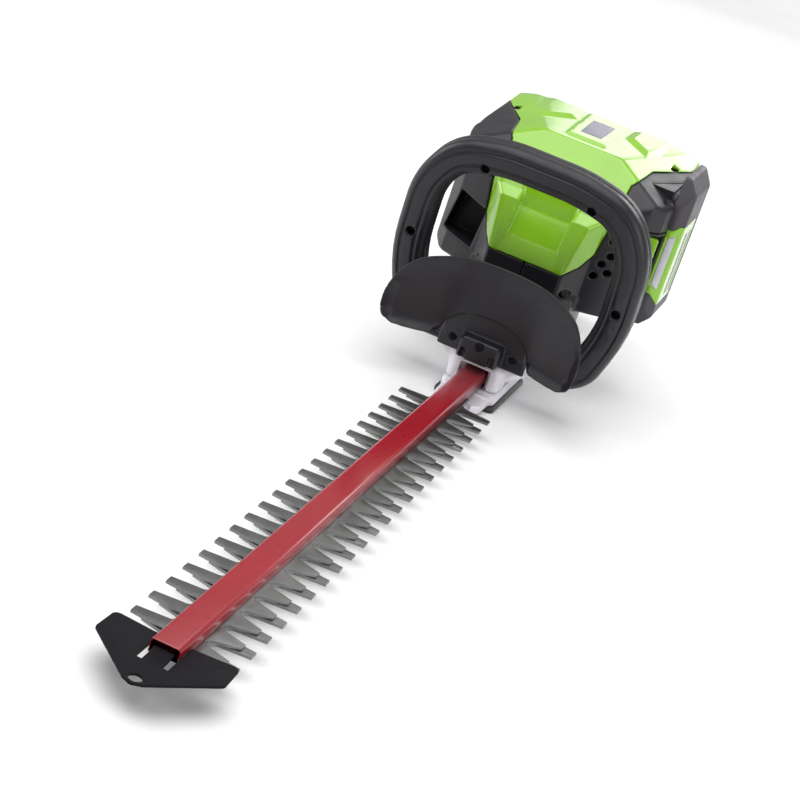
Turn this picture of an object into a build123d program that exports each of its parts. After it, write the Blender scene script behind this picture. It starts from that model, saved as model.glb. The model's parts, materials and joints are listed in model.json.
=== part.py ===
"""Cordless double-sided hedge trimmer with a loop front handle and a side-loaded battery.

Frame: +X runs forward to the blade tip, +Y to the operator's left, +Z up. The origin is on the ground under
the crank axis, on the bottom face of the base plate. All sizes are in millimetres.
"""

import math
import os

from build123d import *

# ---------------------------------------------------------------- driving dimensions
TOOTH_PITCH = 30.0
LONG_TEETH_RIGHT = 21
LONG_TEETH_LEFT = 22
FIRST_TOOTH_X = 745.0
LONG_TOOTH = 46.0
SHORT_TOOTH = 37.0
BLADE_T = 2.4
LOWER_BLADE_Z = 17.0
UPPER_BLADE_Z = 19.6
STRIP_HALF = 14.0
NECK_HALF = 11.0

THROW = 7.5
ECCENTRIC_R = 10.0
WINDOW_HALF_X = 11.9
WINDOW_HALF_Y = 18.2
HEAD_HALF_X = 20.0
HEAD_HALF_Y = 24.0
SHAFT_R = 6.0
CRANK_WEB_R = 3.9

GEAR_MODULE = 1.25
CRANK_TEETH = 60
PINION_TEETH = 12
PRESSURE_ANGLE = 25.0
GEAR_THINNING = 0.1
GEAR_Z = (39.0, 47.0)
MOTOR_X = -GEAR_MODULE * (CRANK_TEETH + PINION_TEETH) / 2

BAR_X = (18.0, 792.0)
BAR_HALF = 12.0
BAR_Z = (22.3, 34.5)
BAR_WALL = 1.8
GUIDE_SCREW_X = [735.0 - 125.0 * i for i in range(6)]
SLEEVE_R = 4.0
SLOT_HALF_LENGTH = SLEEVE_R + THROW + 0.5
SLOT_HALF_WIDTH = SLEEVE_R + 0.3

TIP_PLATE_Z = 25.5
TIP_PLATE_T = 2.0
HANG_HOLE_X = 837.5
HANG_HOLE_R = 5.25

DECK_Z = 58.0
CHAMBER_R = 43.5
BASE_T = 4.0

WALL = 3.0
BODY_REAR_X = -200.0
BODY_BOTTOM_Z = 102.0
TOWER_X = (-100.0, -8.0)

HANDLE_PLANE = Plane(origin=(19, 0, 143), x_dir=(0, 1, 0), z_dir=(0.987, 0, -0.161))
HANDLE_WIDE = 34.0
HANDLE_DEEP = 36.0
HANDLE_SCREWS = [(-57, 93), (57, 93), (-112.6, 0), (112.6, 0)]

GUARD_HALF = 106.0
GUARD_Z = (58.0, 147.0)
GUARD_T = 4.0

BATTERY_X = (-186.0, -104.0)
BATTERY_Y = (-5.0, 112.0)
BATTERY_Z = (108.0, 242.0)
CAP_X = (-192.0, -98.0)
CAP_Y = (112.0, 131.0)
CAP_Z = (94.0, 262.0)
CELL_R = 9.2
CELL_LENGTH = 65.0

os.makedirs("parts", exist_ok=True)


# ---------------------------------------------------------------- helpers
def block(x, y, z, mode=Mode.ADD):
    """A box between two limits along each axis, in the part being built."""
    with Locations(((x[0] + x[1]) / 2, (y[0] + y[1]) / 2, (z[0] + z[1]) / 2)):
        Box(x[1] - x[0], y[1] - y[0], z[1] - z[0], mode=mode)


def post(places, z, radius, mode=Mode.ADD):
    """Upright cylinders from z[0] to z[1] at each (x, y) place."""
    with Locations(*[(x, y, (z[0] + z[1]) / 2) for x, y in places]):
        Cylinder(radius, z[1] - z[0], mode=mode)


def along_x(places, x, radius, mode=Mode.ADD):
    """Cylinders lying along X at each (y, z) place."""
    with Locations(*[((x[0] + x[1]) / 2, y, z) for y, z in places]):
        Cylinder(radius, x[1] - x[0], rotation=(0, 90, 0), mode=mode)


def along_y(places, y, radius, mode=Mode.ADD):
    """Cylinders lying along Y at each (x, z) place."""
    with Locations(*[(x, (y[0] + y[1]) / 2, z) for x, z in places]):
        Cylinder(radius, y[1] - y[0], rotation=(90, 0, 0), mode=mode)


def outline(points, radius=0.0, inset=0.0):
    """A closed face through the points, with its corners rounded and its edge drawn in."""
    with BuildSketch() as shape:
        with BuildLine():
            Polyline(*points, close=True)
        make_face()
        if radius:
            fillet(shape.vertices(), radius)
        if inset:
            offset(amount=-inset)
    return shape.sketch


def prism(face, plane, amount, mode=Mode.ADD, both=False):
    """Extrude an outline made on XY from another plane."""
    extrude(plane * face, amount=amount, both=both, mode=mode, dir=plane.z_dir)


# ---------------------------------------------------------------- blades
def blade(z, long_side, long_xs, short_xs):
    """A toothed blade: long blunt teeth on one side, short ground teeth on the other, and a crank window."""
    long_tooth = [(-13, 13.5), (-7.5, 19), (-4.5, LONG_TOOTH), (4.5, LONG_TOOTH), (7.5, 19), (13, 13.5)]
    short_tooth = [(-13, 13.5), (-10, 17), (-3.4, SHORT_TOOTH), (3.4, SHORT_TOOTH), (10, 17), (13, 13.5)]
    front = FIRST_TOOTH_X + 27
    with BuildPart() as part:
        with BuildSketch(Plane.XY.offset(z)):
            with Locations((front / 2 + 50, 0)):
                Rectangle(front - 100, 2 * STRIP_HALF)
            with Locations((65, 0)):
                Rectangle(110, 2 * NECK_HALF)
            Rectangle(2 * HEAD_HALF_X, 2 * HEAD_HALF_Y)
            with Locations(*[(x, 0) for x in long_xs]):
                Polygon(*[(x, long_side * y) for x, y in long_tooth], align=None)
            with Locations(*[(x, 0) for x in short_xs]):
                Polygon(*[(x, -long_side * y) for x, y in short_tooth], align=None)
            Rectangle(2 * WINDOW_HALF_X, 2 * WINDOW_HALF_Y, mode=Mode.SUBTRACT)
            with Locations(*[(x, 0) for x in GUIDE_SCREW_X]):
                SlotOverall(2 * SLOT_HALF_LENGTH, 2 * SLOT_HALF_WIDTH, mode=Mode.SUBTRACT)
        extrude(amount=BLADE_T)
    return part.part


right_xs = [FIRST_TOOTH_X - TOOTH_PITCH * i for i in range(LONG_TEETH_RIGHT)]
left_xs = [FIRST_TOOTH_X + TOOTH_PITCH / 2 - TOOTH_PITCH * i for i in range(LONG_TEETH_LEFT)]

with BuildPart() as upper_blade:
    add(blade(UPPER_BLADE_Z, -1, right_xs, left_xs[:LONG_TEETH_RIGHT]))
upper_blade.part.label = "upper_blade"
export_step(upper_blade.part, "parts/upper_blade.step")

with BuildPart() as lower_blade:
    add(blade(LOWER_BLADE_Z, 1, left_xs, right_xs))
lower_blade.part.label = "lower_blade"
export_step(lower_blade.part, "parts/lower_blade.step")

# ---------------------------------------------------------------- blade bar and what holds the blades to it
bar_points = [(-BAR_HALF, BAR_Z[0]), (-BAR_HALF, BAR_Z[1]), (BAR_HALF, BAR_Z[1]), (BAR_HALF, BAR_Z[0])]
inner_half = BAR_HALF - BAR_WALL
with BuildPart() as bar_channel:
    with BuildSketch(Plane.YZ.offset(BAR_X[0])) as channel_section:
        Polygon(*bar_points, align=None)
        fillet(channel_section.vertices().group_by(Axis.Y)[-1], 3.5)
        Polygon(
            (-inner_half, BAR_Z[0]),
            (-inner_half, BAR_Z[1] - BAR_WALL),
            (inner_half, BAR_Z[1] - BAR_WALL),
            (inner_half, BAR_Z[0]),
            align=None,
            mode=Mode.SUBTRACT,
        )
    extrude(amount=BAR_X[1] - BAR_X[0])
bar_channel.part.label = "bar_channel"
export_step(bar_channel.part, "parts/bar_channel.step")

BACKING_TOP = BAR_Z[0] + 5.0
with BuildPart() as backing_bar:
    block((60, 785), (-inner_half, inner_half), (BAR_Z[0], BACKING_TOP))
    post([(x, 0) for x in GUIDE_SCREW_X], (BAR_Z[0], BACKING_TOP), 2.5, Mode.SUBTRACT)
    post([(775, 0), (784, 0)], (BAR_Z[0], BACKING_TOP), 1.5, Mode.SUBTRACT)
backing_bar.part.label = "backing_bar"
export_step(backing_bar.part, "parts/backing_bar.step")

guide_places = [(x, 0) for x in GUIDE_SCREW_X]
with BuildPart() as guide_screws:
    post(guide_places, (13.4, 16.5), 6.5)
    post(guide_places, (16.5, 31.5), 2.5)
    with Locations(*[(x, 0, 14.3) for x in GUIDE_SCREW_X]):
        Cylinder(2.3, 1.9, mode=Mode.SUBTRACT)
guide_screws.part.label = "guide_screws"
export_step(guide_screws.part, "parts/guide_screws.step")

with BuildPart() as guide_sleeves:
    post(guide_places, (16.5, BAR_Z[0]), SLEEVE_R)
    post(guide_places, (16.5, BAR_Z[0]), 2.5, Mode.SUBTRACT)
guide_sleeves.part.label = "guide_sleeves"
export_step(guide_sleeves.part, "parts/guide_sleeves.step")

with BuildPart() as guide_nuts:
    with BuildSketch(Plane.XY.offset(BACKING_TOP)):
        with Locations(*guide_places):
            RegularPolygon(4.6, 6)
            Circle(2.5, mode=Mode.SUBTRACT)
    extrude(amount=4.0)
guide_nuts.part.label = "guide_nuts"
export_step(guide_nuts.part, "parts/guide_nuts.step")

# ---------------------------------------------------------------- tip plate
TONGUE_HALF = 8.0
tip_outline = [
    (772, -17),
    (769, -50),
    (799, -51),
    (842, -8),
    (846, 0),
    (842, 8),
    (799, 51),
    (769, 50),
    (772, 17),
]
with BuildPart() as tip_plate:
    with BuildSketch(Plane.XY.offset(TIP_PLATE_Z)) as tip_sketch:
        Polygon(*tip_outline, align=None)
        fillet(tip_sketch.vertices().filter_by(lambda v: abs(v.Y) > 40), 5)
        fillet(tip_sketch.vertices().filter_by(lambda v: v.X > 840), 4)
        with Locations((HANG_HOLE_X, 0)):
            Circle(HANG_HOLE_R, mode=Mode.SUBTRACT)
        with Locations((780, 0)):
            Rectangle(64, 25.2, mode=Mode.SUBTRACT)
    extrude(amount=TIP_PLATE_T)
    with BuildSketch(Plane.XZ):
        Polygon(
            (814, TIP_PLATE_Z),
            (802, TIP_PLATE_Z),
            (793, BACKING_TOP),
            (770, BACKING_TOP),
            (770, BACKING_TOP + TIP_PLATE_T),
            (794, BACKING_TOP + TIP_PLATE_T),
            (803, TIP_PLATE_Z + TIP_PLATE_T),
            (814, TIP_PLATE_Z + TIP_PLATE_T),
            align=None,
        )
    extrude(amount=TONGUE_HALF, both=True)
    post([(775, 0), (784, 0)], (BACKING_TOP - 1, BACKING_TOP + 4), 1.5, Mode.SUBTRACT)
tip_plate.part.label = "tip_plate"
export_step(tip_plate.part, "parts/tip_plate.step")

with BuildPart() as tip_rivets:
    post([(775, 0), (784, 0)], (BAR_Z[0] + 0.2, BACKING_TOP + TIP_PLATE_T), 1.5)
    post([(775, 0), (784, 0)], (BACKING_TOP + TIP_PLATE_T, BACKING_TOP + TIP_PLATE_T + 1.5), 3.2)
tip_rivets.part.label = "tip_rivets"
export_step(tip_rivets.part, "parts/tip_rivets.step")


# ---------------------------------------------------------------- crank and its gear
def gear_outline(teeth, turn):
    """Involute spur gear outline as points, the teeth thinned a little for backlash."""
    pitch_r = GEAR_MODULE * teeth / 2
    base_r = pitch_r * math.cos(math.radians(PRESSURE_ANGLE))
    tip_r = pitch_r + GEAR_MODULE
    root_r = pitch_r - 1.25 * GEAR_MODULE

    def involute(radius):
        roll = math.sqrt(max(radius**2 / base_r**2 - 1, 0))
        return roll - math.atan(roll)

    half_at_pitch = math.pi / (2 * teeth) - GEAR_THINNING / pitch_r
    start_r = max(base_r, root_r)
    radii = [start_r + (tip_r - start_r) * i / 4 for i in range(5)]
    flank = [(r, half_at_pitch + involute(pitch_r) - involute(r)) for r in radii]
    if root_r < base_r:
        flank.insert(0, (root_r, flank[0][1]))
    points = []
    for tooth in range(teeth):
        centre = turn + 2 * math.pi * tooth / teeth
        polar = [(r, centre - a) for r, a in flank] + [(r, centre + a) for r, a in reversed(flank)]
        points += [(r * math.cos(a), r * math.sin(a)) for r, a in polar]
    return points


with BuildPart() as crank_gear:
    with BuildSketch(Plane.XY.offset(GEAR_Z[0])):
        Polygon(*gear_outline(CRANK_TEETH, 0.0), align=None)
        Circle(SHAFT_R, mode=Mode.SUBTRACT)
        with PolarLocations(23, 6):
            Circle(6, mode=Mode.SUBTRACT)
    extrude(amount=GEAR_Z[1] - GEAR_Z[0])
crank_gear.part.label = "crank_gear"
export_step(crank_gear.part, "parts/crank_gear.step")

with BuildPart() as crank_shaft:
    post([(0, 0)], (5.5, 16.9), 5)
    post([(0, 0)], (16.9, 22.4), CRANK_WEB_R)
    post([(0, THROW)], (LOWER_BLADE_Z + 0.1, LOWER_BLADE_Z + BLADE_T - 0.1), ECCENTRIC_R)
    post([(0, -THROW)], (UPPER_BLADE_Z + 0.1, UPPER_BLADE_Z + BLADE_T - 0.1), ECCENTRIC_R)
    post([(0, 0)], (22.4, GEAR_Z[0]), 9)
    post([(0, 0)], (GEAR_Z[0], 57), SHAFT_R)
crank_shaft.part.label = "crank_shaft"
export_step(crank_shaft.part, "parts/crank_shaft.step")

with BuildPart() as crank_bearings:
    post([(0, 0)], (5, 13.5), 9)
    post([(0, 0)], (5, 13.5), 5.04, Mode.SUBTRACT)
    post([(0, 0)], (49.3, 57.3), 14)
    post([(0, 0)], (49.3, 57.3), SHAFT_R + 0.04, Mode.SUBTRACT)
crank_bearings.part.label = "crank_bearings"
export_step(crank_bearings.part, "parts/crank_bearings.step")

# ---------------------------------------------------------------- gearbox castings and base plate
CASE_SCREWS = [(-48, 22), (-48, -22), (44, 20), (44, -20)]
GUARD_SCREWS = [(-33, 58), (33, 58)]
CENTRE_SCREW = (0, 64)
with BuildPart() as gearbox_upper:
    block((-20, 50), (-28, 28), (16, 44))
    fillet(gearbox_upper.edges().filter_by(Axis.Z), 4)
    post([(0, 0)], (30, DECK_Z), CHAMBER_R)
    block((-64, 0), (-30, 30), (16, DECK_Z))
    block((20, 44), (-46, 46), (44, 64))
    block((-8, 18), (-47, 47), (40, 56))
    block((-24, 24), (-28, 28), (16, 35))
    # gear chamber, pinion pocket and bearing seats
    post([(0, 0)], (37.5, 48.6), 40.5, Mode.SUBTRACT)
    post([(MOTOR_X, 0)], (36, 50), 11, Mode.SUBTRACT)
    post([(0, 0)], (48.6, DECK_Z), 14, Mode.SUBTRACT)
    post([(MOTOR_X, 0)], (50, DECK_Z), 9.5, Mode.SUBTRACT)
    post([(0, 0)], (22, 38), 12, Mode.SUBTRACT)
    # room for the blade heads, and the mouth for bar and blades
    block((-29, 29), (-25, 25), (16, 23), Mode.SUBTRACT)
    block((17, 60), (-BAR_HALF - 0.3, BAR_HALF + 0.3), (16, BAR_Z[1] + 0.3), Mode.SUBTRACT)
    post(CASE_SCREWS, (16, 30), 2.1, Mode.SUBTRACT)
    along_x(GUARD_SCREWS, (22, 60), 2.1, Mode.SUBTRACT)
gearbox_upper.part.label = "gearbox_upper"
export_step(gearbox_upper.part, "parts/gearbox_upper.step")

with BuildPart() as gearbox_lower:
    block((-64, 50), (-30, 30), (BASE_T, 16))
    block((50, 98), (-25, 25), (BASE_T, 14.5))
    fillet(gearbox_lower.edges().filter_by(Axis.Z).group_by(Axis.X)[-1], 8)
    block((88, 96), (-25, 25), (6, 12.9), Mode.SUBTRACT)
    post([(0, 0)], (5, 16), 9, Mode.SUBTRACT)
    block((-29, 29), (-25, 25), (13.5, 16), Mode.SUBTRACT)
    post(CASE_SCREWS, (BASE_T, 16), 2.1, Mode.SUBTRACT)
gearbox_lower.part.label = "gearbox_lower"
export_step(gearbox_lower.part, "parts/gearbox_lower.step")

with BuildPart() as base_plate:
    block((-66, 60), (-33, 33), (0, BASE_T))
    fillet(base_plate.edges().filter_by(Axis.Z), 8)
    post(CASE_SCREWS, (0, 2.4), 4.2, Mode.SUBTRACT)
    post(CASE_SCREWS, (0, BASE_T), 2.1, Mode.SUBTRACT)
base_plate.part.label = "base_plate"
export_step(base_plate.part, "parts/base_plate.step")

with BuildPart() as gearbox_screws:
    post(CASE_SCREWS, (0.4, 2.4), 4)
    post(CASE_SCREWS, (2.4, 29), 2)
    with Locations(*[(x, y, 0.9) for x, y in CASE_SCREWS]):
        Box(5.0, 1.0, 1.2, mode=Mode.SUBTRACT)
        Box(1.0, 5.0, 1.2, mode=Mode.SUBTRACT)
gearbox_screws.part.label = "gearbox_screws"
export_step(gearbox_screws.part, "parts/gearbox_screws.step")

# ---------------------------------------------------------------- hand guard
guard_plan = [(52, 0), (52, 44), (66, 70), (86, GUARD_HALF)]


def guard_band(front_by, back_by):
    """Plan section of the guard between two offsets from its plan line, mirrored about the centre plane."""
    front = [(x + front_by, y) for x, y in guard_plan]
    back = [(x - back_by, y) for x, y in guard_plan]
    half = front + back[::-1]
    return half, [(x, -y) for x, y in half]


guard_front = [
    (-50, 58),
    (-98, 58),
    (-106, 72),
    (-103, 104),
    (-82, 134),
    (-50, 144),
    (0, 147),
    (50, 144),
    (82, 134),
    (103, 104),
    (106, 72),
    (98, 58),
    (50, 58),
    (44, 72),
    (26, 88),
    (0, 91),
    (-26, 88),
    (-44, 72),
]
with BuildPart() as hand_guard:
    with BuildSketch(Plane.XY.offset(GUARD_Z[0] - 2)):
        for half in guard_band(GUARD_T / 2, GUARD_T / 2):
            Polygon(*half, align=None)
    extrude(amount=GUARD_Z[1] - GUARD_Z[0] + 4)
    with BuildSketch(Plane.YZ):
        Polygon(*guard_front, align=None)
    extrude(amount=120, mode=Mode.INTERSECT)
    # forward lips under the wings
    with BuildSketch(Plane.XY.offset(GUARD_Z[0])):
        for half in guard_band(11, 0):
            Polygon(*half, align=None)
        Rectangle(400, 100, mode=Mode.SUBTRACT)
        with Locations((60, 103), (60, -103)):
            Rectangle(120, 8, mode=Mode.SUBTRACT)
    extrude(amount=4)
    # flange, centre boss and the recess plate behind the arch
    block((44, 48), (-48, 48), (45.2, 70))
    block((46, 50.5), (-45, 45), (62, 92))
    block((44, 66), (-22, 22), (45.2, 70))
    along_x(GUARD_SCREWS, (40, 50), 2.1, Mode.SUBTRACT)
    along_x([CENTRE_SCREW], (50, 70), 2.1, Mode.SUBTRACT)
hand_guard.part.label = "hand_guard"
export_step(hand_guard.part, "parts/hand_guard.step")

with BuildPart() as guard_screws:
    along_x(GUARD_SCREWS, (26, 48), 2)
    along_x(GUARD_SCREWS, (48, 50.2), 4)
    along_x([CENTRE_SCREW], (51, 66), 2)
    along_x([CENTRE_SCREW], (66, 68.4), 4)
guard_screws.part.label = "guard_screws"
export_step(guard_screws.part, "parts/guard_screws.step")

# ---------------------------------------------------------------- loop front handle, two shells
handle_half = [(47, -89), (94, -89), (114, -25), (112, 55), (88, 95), (40, 106.5)]
handle_radii = [28.0, 170.0, 80.0, 50.0, 160.0]


def handle_path():
    """The handle's centre line, one smooth run of straights and arcs, from its left foot to its right one."""
    points = handle_half + [(-u, w) for u, w in reversed(handle_half)]
    radii = handle_radii + handle_radii[::-1]
    with BuildLine(HANDLE_PLANE) as path:
        FilletPolyline(*points, radius=radii)
    return path.line


handle_line = handle_path()
handle_start = HANDLE_PLANE.from_local_coords((handle_half[0][0], handle_half[0][1], 0))
SECTION = Plane(origin=handle_start, x_dir=HANDLE_PLANE.z_dir, z_dir=(0, 1, 0))


def handle_shell(side):
    """Half of the tube, split on the loop's own plane; side is +1 for the front and -1 for the rear."""
    with BuildPart() as shell:
        with BuildSketch(SECTION) as ring:
            RectangleRounded(HANDLE_DEEP, HANDLE_WIDE, 14)
            RectangleRounded(HANDLE_DEEP - 2 * WALL, HANDLE_WIDE - 2 * WALL, 11, mode=Mode.SUBTRACT)
            with Locations((-side * HANDLE_DEEP / 2, 0)):
                Rectangle(HANDLE_DEEP, 2 * HANDLE_WIDE, mode=Mode.SUBTRACT)
        sweep(path=handle_line)
    return shell.part


with BuildPart() as front_handle_front:
    add(handle_shell(1))
    with BuildSketch(HANDLE_PLANE):
        with Locations(*HANDLE_SCREWS):
            Circle(7)
    extrude(amount=HANDLE_DEEP / 2 - 2)
    with BuildSketch(HANDLE_PLANE.offset(5)):
        with Locations(*HANDLE_SCREWS):
            Circle(4.6)
    extrude(amount=HANDLE_DEEP, mode=Mode.SUBTRACT)
    with BuildSketch(HANDLE_PLANE):
        with Locations(*HANDLE_SCREWS):
            Circle(2.1)
    extrude(amount=6, mode=Mode.SUBTRACT)
front_handle_front.part.label = "front_handle_front"
export_step(front_handle_front.part, "parts/front_handle_front.step")

with BuildPart() as front_handle_rear:
    add(handle_shell(-1))
    with BuildSketch(HANDLE_PLANE):
        with Locations(*HANDLE_SCREWS):
            Circle(6)
            Circle(2.1, mode=Mode.SUBTRACT)
    extrude(amount=-(HANDLE_DEEP / 2 - WALL))
front_handle_rear.part.label = "front_handle_rear"
export_step(front_handle_rear.part, "parts/front_handle_rear.step")

with BuildPart() as front_handle_screws:
    with BuildSketch(HANDLE_PLANE.offset(5)):
        with Locations(*HANDLE_SCREWS):
            Circle(4.2)
    extrude(amount=2.6)
    with BuildSketch(HANDLE_PLANE.offset(-11)):
        with Locations(*HANDLE_SCREWS):
            Circle(2)
    extrude(amount=16)
front_handle_screws.part.label = "front_handle_screws"
export_step(front_handle_screws.part, "parts/front_handle_screws.step")

# ---------------------------------------------------------------- motor
with BuildPart() as motor_can:
    post([(MOTOR_X, 0)], (DECK_Z, 104), 31)
    post([(MOTOR_X, 0)], (DECK_Z + 3, 104), 28, Mode.SUBTRACT)
    post([(MOTOR_X, 0)], (DECK_Z, DECK_Z + 3), 9.5, Mode.SUBTRACT)
    with BuildSketch(Plane.XY.offset(80)):
        with Locations((MOTOR_X, 0)):
            with PolarLocations(30, 6):
                Rectangle(8, 7)
    extrude(amount=14, mode=Mode.SUBTRACT)
motor_can.part.label = "motor_can"
export_step(motor_can.part, "parts/motor_can.step")

with BuildPart() as motor_stator:
    with BuildSketch(Plane.XY.offset(66)):
        with Locations((MOTOR_X, 0)):
            Circle(28)
            Circle(24, mode=Mode.SUBTRACT)
            with PolarLocations(20.5, 6):
                Rectangle(9, 5)
            with PolarLocations(17, 6):
                Rectangle(2.6, 12)
    extrude(amount=32)
motor_stator.part.label = "motor_stator"
export_step(motor_stator.part, "parts/motor_stator.step")

with BuildPart() as motor_windings:
    with BuildSketch(Plane.XY.offset(64)):
        with Locations((MOTOR_X, 0)):
            with PolarLocations(20.9, 6):
                Rectangle(4.8, 11)
                Rectangle(4.8, 5.2, mode=Mode.SUBTRACT)
    extrude(amount=36)
motor_windings.part.label = "motor_windings"
export_step(motor_windings.part, "parts/motor_windings.step")

with BuildPart() as motor_end_cap:
    post([(MOTOR_X, 0)], (104, 107), 31)
    post([(MOTOR_X, 0)], (100.6, 104), 12)
    post([(MOTOR_X, 0)], (100.6, 107), 9.5, Mode.SUBTRACT)
motor_end_cap.part.label = "motor_end_cap"
export_step(motor_end_cap.part, "parts/motor_end_cap.step")

with BuildPart() as motor_bearings:
    post([(MOTOR_X, 0)], (52, 59), 9.5)
    post([(MOTOR_X, 0)], (101, 107), 9.5)
    post([(MOTOR_X, 0)], (50, 110), 3.04, Mode.SUBTRACT)
motor_bearings.part.label = "motor_bearings"
export_step(motor_bearings.part, "parts/motor_bearings.step")

with BuildPart() as motor_shaft:
    post([(MOTOR_X, 0)], (38, 121), 3)
motor_shaft.part.label = "motor_shaft"
export_step(motor_shaft.part, "parts/motor_shaft.step")

with BuildPart() as motor_rotor:
    post([(MOTOR_X, 0)], (66, 98), 14.8)
    post([(MOTOR_X, 0)], (66, 98), 3, Mode.SUBTRACT)
motor_rotor.part.label = "motor_rotor"
export_step(motor_rotor.part, "parts/motor_rotor.step")

with BuildPart() as motor_pinion:
    with BuildSketch(Plane.XY.offset(GEAR_Z[0] - 1)):
        with Locations((MOTOR_X, 0)):
            Polygon(*gear_outline(PINION_TEETH, math.pi / PINION_TEETH), align=None)
            Circle(3, mode=Mode.SUBTRACT)
    extrude(amount=GEAR_Z[1] - GEAR_Z[0] + 2)
motor_pinion.part.label = "motor_pinion"
export_step(motor_pinion.part, "parts/motor_pinion.step")

with BuildPart() as cooling_fan:
    post([(MOTOR_X, 0)], (109, 111), 27)
    post([(MOTOR_X, 0)], (109, 119), 8)
    with Locations((MOTOR_X, 0, 114)):
        with PolarLocations(15.5, 9):
            Box(21, 1.6, 8)
    post([(MOTOR_X, 0)], (109, 119), 3, Mode.SUBTRACT)
cooling_fan.part.label = "cooling_fan"
export_step(cooling_fan.part, "parts/cooling_fan.step")

# ---------------------------------------------------------------- body form, shared by the covers and the housing
side_profile = [
    (-8, BODY_BOTTOM_Z),
    (-8, 142),
    (-14, 166),
    (-36, 190),
    (-42, 214),
    (-97, 258),
    (-218, 262),
    (-228, 252),
    (-226, 234),
    (BODY_REAR_X, 228),
    (BODY_REAR_X, BODY_BOTTOM_Z),
]
plan_profile = [
    (-8, -40),
    (-42, -62),
    (-58, -98),
    (-82, -119),
    (-236, -119),
    (-236, 111.7),
    (-95, 111.7),
    (-95, 119),
    (-82, 119),
    (-58, 98),
    (-42, 62),
    (-8, 40),
]
front_profile = [
    (-104, BODY_BOTTOM_Z),
    (-119, 117),
    (-119, 228),
    (-106, 256),
    (-76, 266),
    (76, 266),
    (106, 256),
    (119, 228),
    (119, 117),
    (104, BODY_BOTTOM_Z),
]


def body_form(inset):
    """The whole upper body as one solid, drawn in by inset on every face."""
    with BuildPart() as form:
        prism(outline(side_profile, 0.0, inset), Plane.XZ, 140, both=True)
        prism(outline(front_profile, 8.0, inset), Plane.YZ, 260, both=True, mode=Mode.INTERSECT)
        prism(outline(plan_profile, 0.0, inset), Plane.XY, 400, mode=Mode.INTERSECT)
    return form.part


def tower_form(inset):
    """The motor tower under the body, down to the gearbox deck."""
    tower_plan = [
        (TOWER_X[1], -40),
        (-30, -58),
        (TOWER_X[0], -58),
        (TOWER_X[0], 58),
        (-30, 58),
        (TOWER_X[1], 40),
    ]
    with BuildPart() as tower:
        prism(outline(tower_plan, 0.0, inset), Plane.XY.offset(DECK_Z + inset), 60)
    return tower.part


cover_edge = [
    (-40, 142),
    (40, 142),
    (52, 152),
    (61, 168),
    (66, 200),
    (67, 240),
    (76, 250),
    (130, 250),
    (130, 300),
    (-130, 300),
    (-130, 250),
    (-76, 250),
    (-67, 240),
    (-66, 200),
    (-61, 168),
    (-52, 152),
]
SHOULDER_Z = 204.0

with BuildPart() as body_outer:
    add(body_form(0.0))
with BuildPart() as body_inner:
    add(body_form(WALL))
with BuildPart() as cover_region:
    prism(outline(cover_edge), Plane.YZ, 260, both=True)
with BuildPart() as shell_above:
    add(body_outer.part)
    add(body_inner.part, mode=Mode.SUBTRACT)

bay_x = (BATTERY_X[0] - 2.6, BATTERY_X[1] + 2.6)
bay_z = (BATTERY_Z[0] - 2.6, BATTERY_Z[1] + 2.6)

with BuildPart() as top_cover:
    add(shell_above.part)
    add(cover_region.part, mode=Mode.INTERSECT)
top_cover.part.label = "top_cover"
export_step(top_cover.part, "parts/top_cover.step")


def shoulder(side):
    """The dark shoulder panel above the housing on one side of the top cover."""
    with BuildPart() as panel:
        add(shell_above.part)
        add(cover_region.part, mode=Mode.SUBTRACT)
        block((-260, 60), (min(0, side * 140), max(0, side * 140)), (SHOULDER_Z, 300), Mode.INTERSECT)
        block(bay_x, (0, 140), bay_z, Mode.SUBTRACT)
    return panel.part


with BuildPart() as shoulder_cover_left:
    add(shoulder(1))
shoulder_cover_left.part.label = "shoulder_cover_left"
export_step(shoulder_cover_left.part, "parts/shoulder_cover_left.step")

with BuildPart() as shoulder_cover_right:
    add(shoulder(-1))
shoulder_cover_right.part.label = "shoulder_cover_right"
export_step(shoulder_cover_right.part, "parts/shoulder_cover_right.step")

# Screws across the parting plane, in deep bores from the right, and two that face forward beside the tower.
HOUSING_SCREWS = [(-92.0, 70.0), (-193.2, 118.0), (-193.2, 186.0)]
FRONT_SCREWS = [(-48.0, 122.0), (48.0, 122.0)]
BUTTON_SLOT_Y = (93.0, 117.0)
BUTTON_SLOT_Z = (144.0, 200.0)
VENTS = [(74, 186), (84, 178), (76, 170), (86, 162), (70, 160), (78, 152)]
BOSS_R = 4.0


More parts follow.
